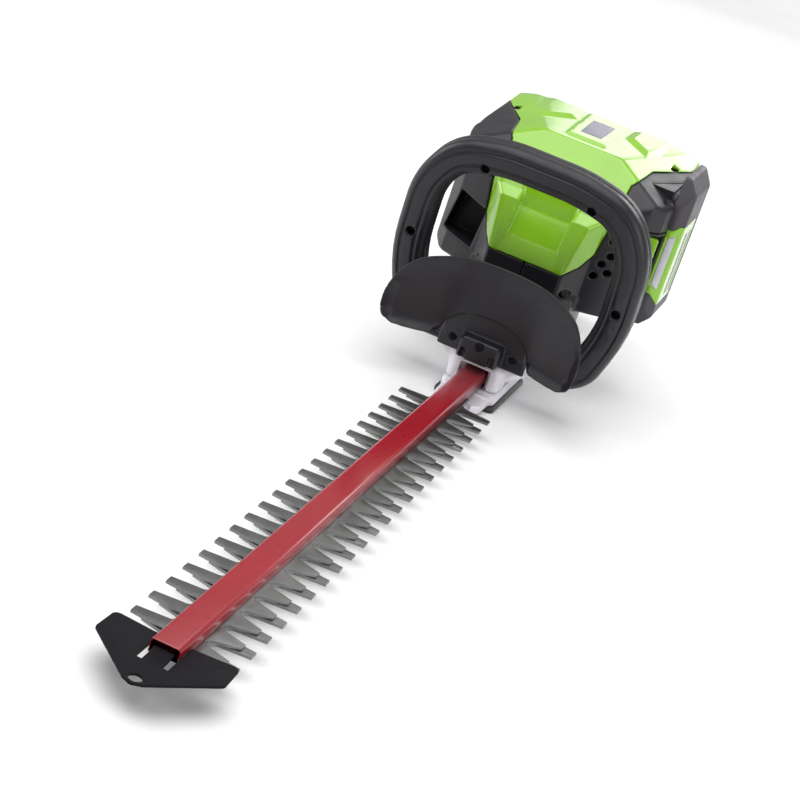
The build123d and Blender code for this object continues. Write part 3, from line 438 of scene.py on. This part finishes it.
BAY_LOW, BAY_HIGH = (-188.6, 0, 105.4), (-101.4, 140, 244.6)
BATTERY_FLANK, FULL_FLANK = 111.7, 119.7
VENTS = [(74, 186), (84, 178), (76, 170), (86, 162), (70, 160), (78, 152), (66, 146), (88, 146)]
VENT_R = 4.2
FLANK_WELLS = [(-92, 70), (-193.2, 118), (-193.2, 186)]
FLANK_WELL_R = 3.2
FRONT_WELL, FRONT_WELL_R = (48, 122), 4.4


def top_height(x, y):
    """Height of the cover's top: a gentle slope with a raised centre panel and two raised side panels."""
    base = CREASE[1] + (CREASE[0] - x) * TOP_SLOPE
    centre = 2.4 * np.clip(-polygon(x, y, CENTRE_PANEL) / 2.5, 0, 1)
    side = 3.2 * np.clip(-polygon(x, np.abs(y), SIDE_PANEL) / 9, 0, 1)
    return base + np.maximum(centre, side)


def body_form(x, y, z, soft, plan=PLAN):
    """The whole upper body, its edges rounded by about soft."""
    form = common(polygon(x, z, SIDE), polygon(y, z, FRONT), 4)
    form = common(form, polygon(x, y, plan), soft)
    return common(form, half_space(x, np.abs(y), z, *DIAGONAL), 3)


def cover_region(y, z):
    """Distance to the space that the green cover takes, seen from the front."""
    half = COVER_EDGE[1:]
    loop = half + [(130, 300)] + [(-130, 300)] + [(-v, w) for v, w in half[::-1]]
    return polygon(y, z, loop)


def cover_piece():
    """The green top cover: ribs beside a recess in front, a sloped nose and panels on top."""
    x, y, z = places = space((-232, -119, 140), (-6, 119, 268), 1.1)
    form = body_form(x, y, z, 5)
    form = common(form, z - top_height(x, y), 1.5)
    well = common(polygon(x, z, RECESS), np.abs(y) - 28.5, 3)
    form = cut(form, well, 5)
    for side in (-1, 1):
        slot = box(x, side * y, z, (-172, 88, 240), (-158, 95, 300), 2)
        form = cut(form, slot, 0.8)
    form = common(form, cover_region(y, z) + SPLIT, 1.2)
    wall = shell(form, WALL)
    return moulding("cover", wall, places, "machine", "green_plastic", "top_cover", keep=0.35)


def label_piece():
    """The blank dark label on the centre panel."""
    x, y, z = places = space((-194, -14, 256), (-128, 14, 266), 0.5)
    height = top_height(x, y)
    outline = polygon(x, y, LABEL)
    form = common(outline, slab(z - height, -1.2, 0.35), 0.6)
    return moulding("label", form, places, "machine", "label_dark", "label_plate", keep=0.4)


def dark_form(x, y, z, side):
    """The body as the dark mouldings follow it, with a barrel-shaped forward corner."""
    plan = [(-232, 0), (-8, 0)] + BARREL
    form = body_form(x, y, z, 5, plan)
    if side < 0:
        return form
    flank = BATTERY_FLANK + (FULL_FLANK - BATTERY_FLANK) * np.clip((x + 98) / 4, 0, 1)
    return common(form, y - flank, 1.5)


def mirror_to(side):
    """Turn vertices made on the left to the side asked for."""
    return lambda vertices: vertices * (1, side, 1)


def shoulder_piece(side, node):
    """A dark shoulder with a rounded forward corner, a notch on the left and a recess on the right."""
    x, y, z = places = space((-232, 0, SHOULDER_Z - 2), (-8, 121, 260), 1.1)
    form = dark_form(x, y, z, side)
    form = common(form, SPLIT - cover_region(y, z), 1.2)
    form = common(form, SHOULDER_Z + SPLIT - z, 1.5)
    if side > 0:
        form = cut(form, box(x, y, z, (-96, 104, 232), (-84, 128, 240), 2), 1.2)
    else:
        form = cut(form, box(x, y, z, (-190, 114, 214), (-110, 128, 236), 2.5), 1.2)
    wall = shell(form, WALL)
    if side > 0:
        wall = cut(wall, box(x, y, z, BAY_LOW, BAY_HIGH), 0.6)
    return moulding(
        node + "_moulding", wall, places, "machine", "black_plastic", node, keep=0.35, back=mirror_to(side)
    )


def hexagon(u, v, centre, radius):
    """Distance to an upright hexagon in the plane of u and v."""
    corners = [
        (centre[0] + radius * math.sin(k * math.pi / 3), centre[1] + radius * math.cos(k * math.pi / 3))
        for k in range(6)
    ]
    return polygon(u, v, corners)


def housing_piece(side, node):
    """Half of the dark clamshell: tower, deck and flank, with vents and screw wells."""
    x, y, z = places = space((-202, 0, 58), (-6, 121, SHOULDER_Z + 1), 1.1)
    body = dark_form(x, y, z, side)
    tower = common(polygon(x, y, TOWER), slab(z, 58, 118), 3)
    form = union(body, tower, 5)
    form = common(form, z - SHOULDER_Z + SPLIT, 1.5)
    form = common(form, SPLIT - cover_region(y, z), 1.2)
    form = common(form, SPLIT - y, 0.8)
    if side < 0:
        pocket = [(105, 128), (66, 124), (61, 168), (96, 174)]
        form = cut(form, common(polygon(y, z, pocket), -88 - x), 2.5)
        panel = [(-180, 120), (-110, 126), (-104, 180), (-170, 186)]
        form = cut(form, common(polygon(x, z, panel), 116.5 - y), 1.5)
    wall = shell(form, WALL)
    wall = cut(wall, rod(y, z, x, FRONT_WELL, FRONT_WELL_R, -30, 5), 0.8)
    if side > 0:
        for vent in VENTS:
            wall = cut(wall, common(hexagon(y, z, vent, VENT_R), slab(x, -90, 5)), 0.5)
        wall = cut(wall, box(x, y, z, (-100, 93, 144), (-40, 117, 200), 2), 0.8)
        wall = cut(wall, box(x, y, z, BAY_LOW, BAY_HIGH), 0.6)
    else:
        for well in FLANK_WELLS:
            wall = cut(wall, rod(x, z, y, well, FLANK_WELL_R, 14, 140), 0.6)
    return moulding(
        node + "_moulding", wall, places, "machine", "black_plastic", node, keep=0.3, back=mirror_to(side)
    )


# ---------------------------------------------------------------- loop handle
HANDLE_ORIGIN = Vector((19, 0, 143))
HANDLE_ACROSS = Vector((0, 1, 0))
HANDLE_NORMAL = Vector((0.987, 0, -0.161)).normalized()
HANDLE_UP = HANDLE_NORMAL.cross(HANDLE_ACROSS)
HANDLE_HALF = [(47, -89), (94, -89), (114, -25), (112, 55), (88, 95), (40, 106.5)]
HANDLE_RADII = [28.0, 170.0, 80.0, 50.0, 160.0]
HANDLE_SCREWS = [(57, 93), (112.6, 0)]
HANDLE_ROUND = 12
HANDLE_CORE = (5, 6)
RIDGE_GROOVES = (-7.5, 7.5)
POST_R, HANDLE_WELL_R = 7, 4.6
WELL_FLOOR = 5


def from_handle(vertices):
    """Places measured across, up and out of the handle's plane, in the row frame."""
    axes = np.array([HANDLE_ACROSS, HANDLE_UP, HANDLE_NORMAL])
    return np.array(HANDLE_ORIGIN) + vertices @ axes


def handle_piece(side, name, node):
    """One shell of the loop handle, side +1 in front, with lengthwise ridges and deep screw wells."""
    low, high = ((-134, -109, -1), (134, 126, 20)) if side > 0 else ((-134, -109, -20), (134, 126, 1))
    u, w, n = places = space(low, high, 1.0)
    corners = HANDLE_HALF + [(-a, b) for a, b in HANDLE_HALF[::-1]]
    line = filleted(corners, HANDLE_RADII + HANDLE_RADII[::-1])
    across = near_line(u, w, line)
    over = np.maximum(np.abs(across) - HANDLE_CORE[0], 0)
    deep = np.maximum(np.abs(n) - HANDLE_CORE[1], 0)
    form = np.hypot(over, deep) - HANDLE_ROUND
    for offset in RIDGE_GROOVES:
        groove = np.hypot(across - offset, n - side * 17.4) - 1.5
        form = cut(form, groove, 1.2)
    form = cut(form, common(np.abs(u) - 47, w + 60), 2)
    wall = shell(form, WALL)
    wall = common(wall, SPLIT - side * n, 0.7)
    if side > 0:
        for place in HANDLE_SCREWS:
            post = np.hypot(np.abs(u) - place[0], w - place[1])
            wall = union(wall, common(common(post - POST_R, slab(n, SPLIT, 17)), form + 1), 0.5)
            well = post - HANDLE_WELL_R
            wall = cut(wall, common(well, WELL_FLOOR - n))
            flared = well - np.maximum(n - 16.5, 0) * 0.8 + np.where(n > WELL_FLOOR, 0, 99)
            wall = cut(wall, flared, 0.4)
    return moulding(name, wall, places, "machine", "black_plastic", node, keep=0.35, back=from_handle)


# ---------------------------------------------------------------- hand guard
GUARD_OUTLINE = [(47, 64), (53, 58), (74, 57.5), (95, 60), (105, 74)]
GUARD_OUTLINE += [(103, 104), (86, 130), (56, 142), (30, 146)]
GUARD_ARCH = [(42, 75), (26, 87)]
GUARD_EDGE = [(52, 58), (98, 58), (106, 72), (104, 104), (84, 134)]
GUARD_X = 52
WING_SLOPE = 0.56
LIP = 11
GUARD_HALF_THICK = 2
GUARD_SCREW_PLACES = [(48, -33, 58), (48, 33, 58), (65.8, 0, 64)]
SCREW_R, SCREW_HEIGHT = 4, 2.5


def guard_piece():
    """The dished guard: swept wings with a forward rim below and outside, an arch and a screw flange."""
    x, y, z = places = space((42, -108, 44), (104, 108, 149), 0.9)
    side = np.abs(y)
    sweep = side - 46
    fold = 2 + 22 * np.clip((z - 66) / 60, 0, 1)
    plan = GUARD_X + WING_SLOPE * 0.5 * (sweep + np.hypot(sweep, fold))
    near_edge = np.abs(near_line(side, z, GUARD_EDGE))
    depth = LIP * np.clip((128 - z) / 45, 0, 1)
    curl = depth * np.power(np.clip(1 - near_edge / 11, 0, 1), 1.6) * np.clip((side - 49) / 4, 0, 1)
    steep = np.sqrt(1 + WING_SLOPE**2 * np.clip(sweep / 20 + 1, 0, 1) + np.square(curl / 7))
    plate = slab(x - plan - curl, -GUARD_HALF_THICK, GUARD_HALF_THICK) / steep
    left = GUARD_OUTLINE + [(0, 147)]
    arch = GUARD_ARCH + [(0, 91)]
    loop = left + [(-a, b) for a, b in left[-2::-1]] + [(-a, b) for a, b in arch[:-1]] + arch[::-1]
    form = common(plate, polygon(y, z, smooth_loop(loop)) + 0.5, 2)
    form = union(form, box(x, y, z, (46, -45, 60), (50.5, 45, 95), 2), 1)
    form = union(form, box(x, y, z, (44, -48, 45.4), (48, 48, 71), 2.5), 1)
    form = union(form, box(x, y, z, (44, -22, 45.4), (66, 22, 70), 5), 2)
    for rib in (-15, 15):
        form = cut(form, box(x, y, z, (60, rib - 3, 40), (72, rib + 3, 58), 2), 0.6)
    for place in ((-33, 58), (33, 58)):
        form = cut(form, rod(y, z, x, place, 4.4, 47.6, 80), 0.5)
    form = cut(form, rod(y, z, x, (0, 64), 4.4, 64.6, 80), 0.5)
    return moulding("guard", form, places, "machine", "black_plastic", "hand_guard", keep=0.4)


# ---------------------------------------------------------------- battery end cap and its green frame
CAP_LOW, CAP_HIGH = (-192, 112, 94), (-98, 131, 262)
CAP_FACETS = [
    ((-98, 121, 0), (1, 0.9, 0)),
    ((-192, 121, 0), (-1, 0.9, 0)),
    ((0, 119, 262), (0, 1, 0.8)),
    ((0, 119, 94), (0, 1, -0.8)),
    ((-98, 0, 232), (1, 0, 0.45)),
    ((-98, 0, 118), (1, 0, -0.6)),
]
FRAME_Z = (122, 212)
FRAME_THICK = 1.4
FRAME_BACK = 114.5


def cap_form(x, y, z):
    """The faceted outside of the battery's end cap."""
    form = box(x, y, z, CAP_LOW, CAP_HIGH, 2)
    for point, normal in CAP_FACETS:
        form = common(form, half_space(x, y, z, point, normal), 2)
    return form


def frame_outline(x, z, inset):
    """Distance to the frame's outline seen from the side, its ends cut back towards the front."""
    low, high = FRAME_Z
    points = [(-167, low), (-108, low), (-96, low + 16), (-90, low + 16), (-90, high - 9)]
    points += [(-96, high - 9), (-104, high), (-167, high)]
    return polygon(x, z, points) + inset


def battery_pieces():
    """The cap, the green frame that wraps round its front edge, and the blank label on that."""
    x, y, z = places = space(CAP_LOW, CAP_HIGH, 0.8)
    form = cap_form(x, y, z)
    skin = common(frame_outline(x, z, 0), -(form + FRAME_THICK))
    skin = common(skin, FRAME_BACK - y)
    cap = cut(form, skin - 0.15, 0.6)
    cap = cut(cap, box(x, y, z, (-184, 100, 110), (-106, 122, 244), 2))
    cap = cut(cap, box(x, y, z, (-166, 126, 120), (-124, 140, 210)))
    moulding("battery_cap", cap, places, "battery", "battery_plastic", "battery_end_cap", keep=0.35)
    frame_field = common(skin, form, 0.8)
    front_window = common(frame_outline(x, z, 5.5), slab(y, 117.5, 126.5), 1)
    front_window = common(front_window, -104 - x)
    frame_field = cut(frame_field, common(front_window, -(form + 0.7)), 0.6)
    frame_field = cut(frame_field, box(x, y, z, (-160, 128.9, 130), (-130, 140, 200)), 0.5)
    moulding("battery_green", frame_field, places, "battery", "green_plastic", "battery_frame", keep=0.35)
    blank = common(common(front_window + 0.4, form + 0.2), -(form + FRAME_THICK))
    moulding("front_label", blank, places, "battery", "label_grey", keep=0.6)


# ---------------------------------------------------------------- gearbox castings and screw heads
EARS = [(-27, 20), (27, 20), (29, 30), (46, 47), (46, 64), (-46, 64), (-46, 47), (-29, 30)]
NOSE = [(40, -27), (84, -25), (98, -12), (98, 12), (84, 25), (40, 27)]
CHAMBERS = [(0, 12, 22, 38), (0, 40.5, 37.5, 48.6), (-45, 11, 36, 50), (0, 14, 48, 60), (-45, 9.5, 50, 60)]


def gearbox_pieces():
    """The cast upper case with its ears and bar mouth, and the lower case with the nose under the bar."""
    x, y, z = places = space((-64, -47, 16), (50, 47, 64), 0.8)
    chamber = rod(x, y, z, (0, 0), 43.5, 30, 58, 3)
    form = union(box(x, y, z, (-20, -28, 16), (50, 28, 44), 8), chamber, 6)
    form = union(form, box(x, y, z, (-64, -30, 16), (0, 30, 58), 4), 3)
    form = union(form, common(polygon(y, z, EARS), slab(x, 21, 44), 3), 5)
    form = union(form, box(x, y, z, (-8, -47, 40), (18, 47, 56), 3), 3)
    mouth = box(x, y, z, (17, -12.3, 10), (60, 12.3, 34.8), 1)
    flare = common(common(slab(y, -16, 16), slab(z, 10, 38)), 42 - x)
    form = cut(form, union(mouth, flare, 3), 1.5)
    form = cut(form, box(x, y, z, (-29, -25, 10), (29, 25, 23)))
    for centre, radius, low, high in CHAMBERS:
        form = cut(form, rod(x, y, z, (centre, 0), radius, low, high))
    moulding("gearbox_case", form, places, "machine", "cast_aluminium", "gearbox_upper", keep=0.4)
    x, y, z = places = space((-64, -30, 4), (98, 30, 16), 0.8)
    form = box(x, y, z, (-64, -30, 4), (50, 30, 16), 4)
    form = union(form, common(polygon(x, y, NOSE), slab(z, 4, 14.5), 4), 3)
    form = cut(form, box(x, y, z, (88, -16, 7), (96, 16, 30), 2), 0.8)
    form = cut(form, box(x, y, z, (-29, -25, 13.5), (29, 25, 30)))
    form = cut(form, rod(x, y, z, (0, 0), 9, 5, 30))
    form = cut(form, box(x, y, z, (60, -25.5, 12.9), (120, 25.5, 30)), 0.8)
    moulding("gearbox_nose", form, places, "machine", "cast_aluminium", "gearbox_lower", keep=0.4)


def guard_screw_heads():
    """Domed heads with a cross recess, facing forward in the guard's flange and boss."""
    for number, (base, across, height) in enumerate(GUARD_SCREW_PLACES):
        low = (base, across - SCREW_R, height - SCREW_R)
        high = (base + 2.6, across + SCREW_R, height + SCREW_R)
        x, y, z = places = space(low, high, 0.25)
        radial = np.hypot(y - across, z - height)
        form = common(radial - SCREW_R, slab(x, base, base + SCREW_HEIGHT))
        form = common(form, np.hypot(radial, x - base + 4) - 6.3, 0.3)
        arms = np.minimum(np.abs(y - across), np.abs(z - height)) - 0.65
        recess = common(common(arms, radial - 2.6), base + 1.2 - x)
        form = cut(form, recess, 0.2)
        name = "guard_screw_head_" + str(number + 1)
        moulding(name, form, places, "machine", "black_steel", "guard_screws", keep=0.5)


gearbox_pieces()
guard_screw_heads()
battery_pieces()
cover_piece()
label_piece()
for side, word in ((1, "left"), (-1, "right")):
    shoulder_piece(side, "shoulder_cover_" + word)
    housing_piece(side, "housing_" + word)
handle_piece(1, "handle_front_shell", "front_handle_front")
handle_piece(-1, "handle_rear_shell", "front_handle_rear")
guard_piece()
for node, width, body in (
    ("upper_blade", 0.5, "blade_upper"),
    ("lower_blade", 0.5, "blade_lower"),
    ("bar_channel", 1.0, "machine"),
    ("tip_plate", 0.5, "machine"),
    ("base_plate", 0.8, "machine"),
    ("release_button", 1.0, "release"),
    ("rear_handle_left", 1.2, "machine"),
    ("rear_handle_right", 1.2, "machine"),
    ("trigger", 0.8, "trigger_lever"),
    ("lock_off_lever", 0.8, "safety_lever"),
):
    chamfered(node, width, body)


# ---------------------------------------------------------------- floor, lights and camera
def stage_floor():
    """A wide pale floor under the tool."""
    half = 6.0
    mesh = bpy.data.meshes.new("floor")
    corners = [(-half, -half, 0), (half, -half, 0), (half, half, 0), (-half, half, 0)]
    mesh.from_pydata(corners, [], [(0, 1, 2, 3)])
    floor = bpy.data.objects.new("floor", mesh)
    bpy.context.scene.collection.objects.link(floor)
    material, tree, shader, place = new_material("floor", (0.93, 0.93, 0.93), roughness=0.75)
    tree.links.new(
        tint(tree, spread(tree, noise(tree, place, 6), 0, 1), (0.92, 0.92, 0.92), (0.95, 0.95, 0.95)),
        shader.inputs["Base Color"],
    )
    mesh.materials.append(material)


def softbox(name, place, target, size, power):
    """A rectangular area light aimed at a point, in metres and watts."""
    light = bpy.data.lights.new(name, "AREA")
    light.shape = "RECTANGLE"
    light.size, light.size_y = size
    light.energy = power
    lamp = bpy.data.objects.new(name, light)
    lamp.location = place
    lamp.visible_camera = False
    lamp.rotation_euler = (Vector(target) - Vector(place)).to_track_quat("-Z", "Y").to_euler()
    bpy.context.scene.collection.objects.link(lamp)


def studio_camera():
    """The camera stands ahead of the tip, above and to the left, and is rolled."""
    place = Vector((1.9963, 0.3666, 0.7508))
    target = Vector((0.2701, -0.0147, 0.060))
    roll = math.radians(18.76)
    camera_data = bpy.data.cameras.new("camera")
    camera_data.lens = 93.4
    camera_data.sensor_width = 36.0
    camera = bpy.data.objects.new("camera", camera_data)
    camera.location = place
    turn = (target - place).to_track_quat("-Z", "Y").to_matrix() @ Matrix.Rotation(roll, 3, "Z")
    camera.rotation_euler = turn.to_euler()
    bpy.context.scene.collection.objects.link(camera)
    bpy.context.scene.camera = camera


stage_floor()
studio_camera()
softbox("overhead", (0.4, -0.3, 3.0), (0.2, 0, 0), (3.4, 3.4), 88)
softbox("back", (-2.6, 0.25, 1.1), (-0.1, 0, 0.25), (1.6, 1.0), 9)
softbox("horizon", (-5.5, 2.0, 3.0), (-5.5, 2.0, 0), (3.0, 3.0), 130)
softbox("left", (-0.2, -2.2, 1.0), (0, 0, 0.15), (0.9, 1.4), 16)
softbox("right", (0.5, 2.2, 1.0), (0, 0, 0.15), (0.9, 1.4), 12)

world = bpy.data.worlds.new("studio")
world.use_nodes = True
world.node_tree.nodes["Background"].inputs["Color"].default_value = (1, 1, 1, 1)
world.node_tree.nodes["Background"].inputs["Strength"].default_value = 0.42
bpy.context.scene.world = world
bpy.context.scene.view_settings.view_transform = "Standard"
